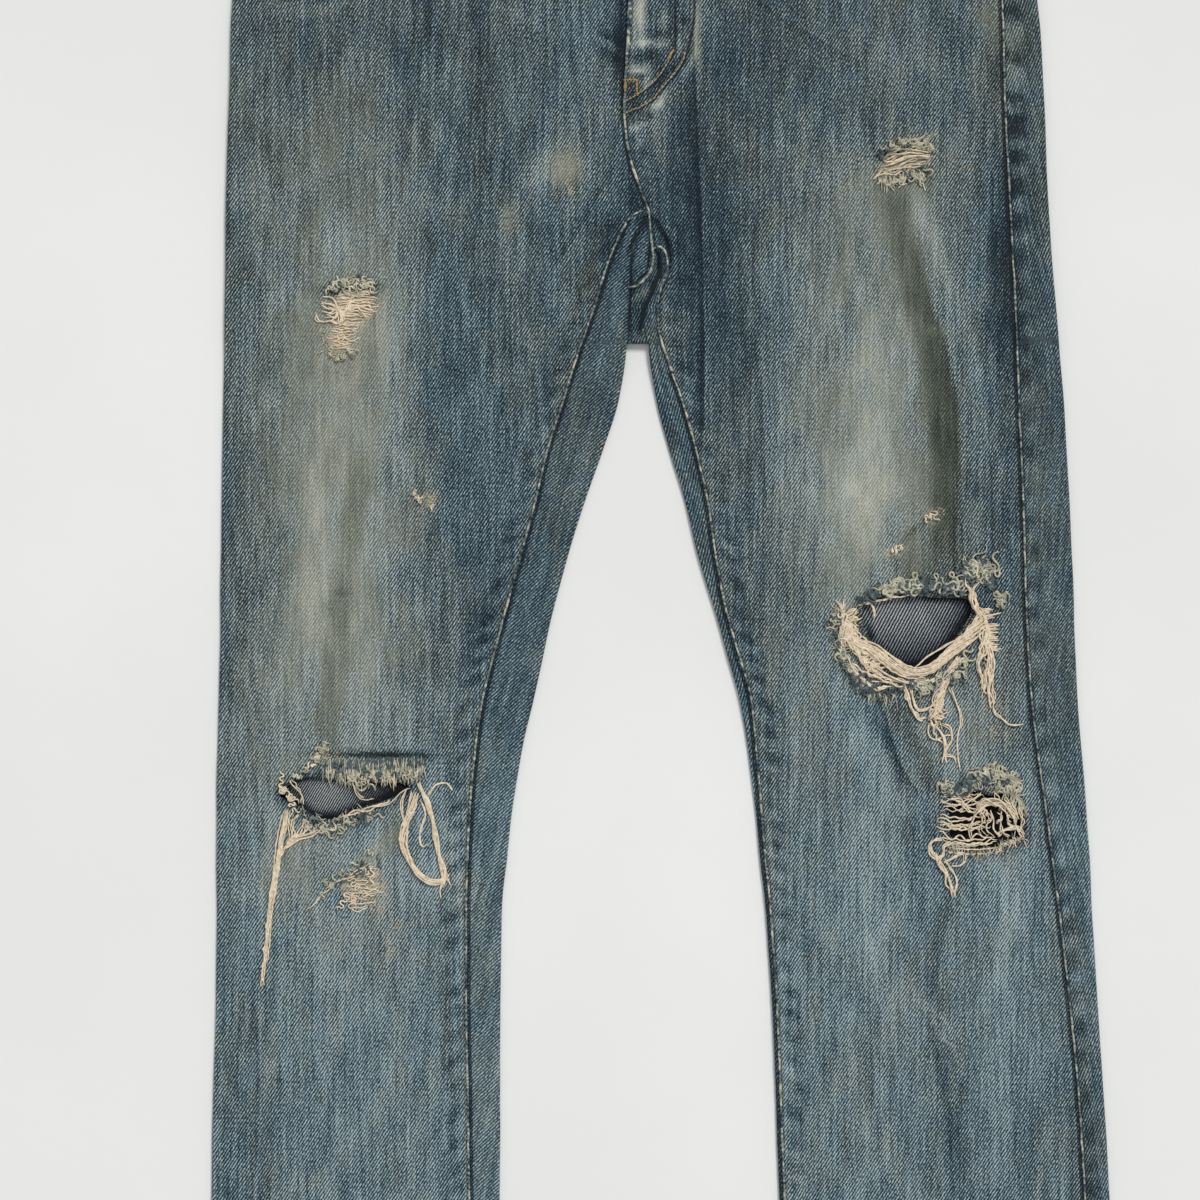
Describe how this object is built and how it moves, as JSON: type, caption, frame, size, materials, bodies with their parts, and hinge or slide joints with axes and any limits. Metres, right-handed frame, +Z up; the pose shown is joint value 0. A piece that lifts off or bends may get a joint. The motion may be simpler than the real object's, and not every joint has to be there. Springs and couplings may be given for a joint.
{
  "type": "ripped jeans",
  "caption": "Worn straight-leg jeans laid flat on their back, with ripped knees and frayed threads, for dressing a floor, bed or table",
  "frame": {"origin": "under the middle of the outline, on the surface the jeans lie on", "axes": "+Y up the garment to the waist, +X to the wearer's left, +Z up from the surface, out of the front of the jeans"},
  "size_m": [0.5973, 1.0614, 0.0131],
  "materials": {
    "front_denim": "worn twill, faded and creased, with ripped and abraded patches",
    "back_denim": "worn twill, less faded",
    "facing_denim": "dark twill",
    "trim_denim": "worn twill with tan topstitching",
    "old_brass": "dull old brass"
  },
  "bodies": {
    "root": {"right_front": "front_denim", "left_front": "front_denim", "right_back": "back_denim", "left_back": "back_denim", "right_yoke": "back_denim", "left_yoke": "back_denim", "right_pocket_facing": "facing_denim", "left_pocket_facing": "facing_denim", "right_back_pocket": "trim_denim", "left_back_pocket": "trim_denim", "waistband": "trim_denim", "right_front_belt_loop": "trim_denim", "left_front_belt_loop": "trim_denim", "right_back_belt_loop": "trim_denim", "centre_back_belt_loop": "trim_denim", "left_back_belt_loop": "trim_denim", "waist_button": "old_brass"}
  },
  "joints": []
}
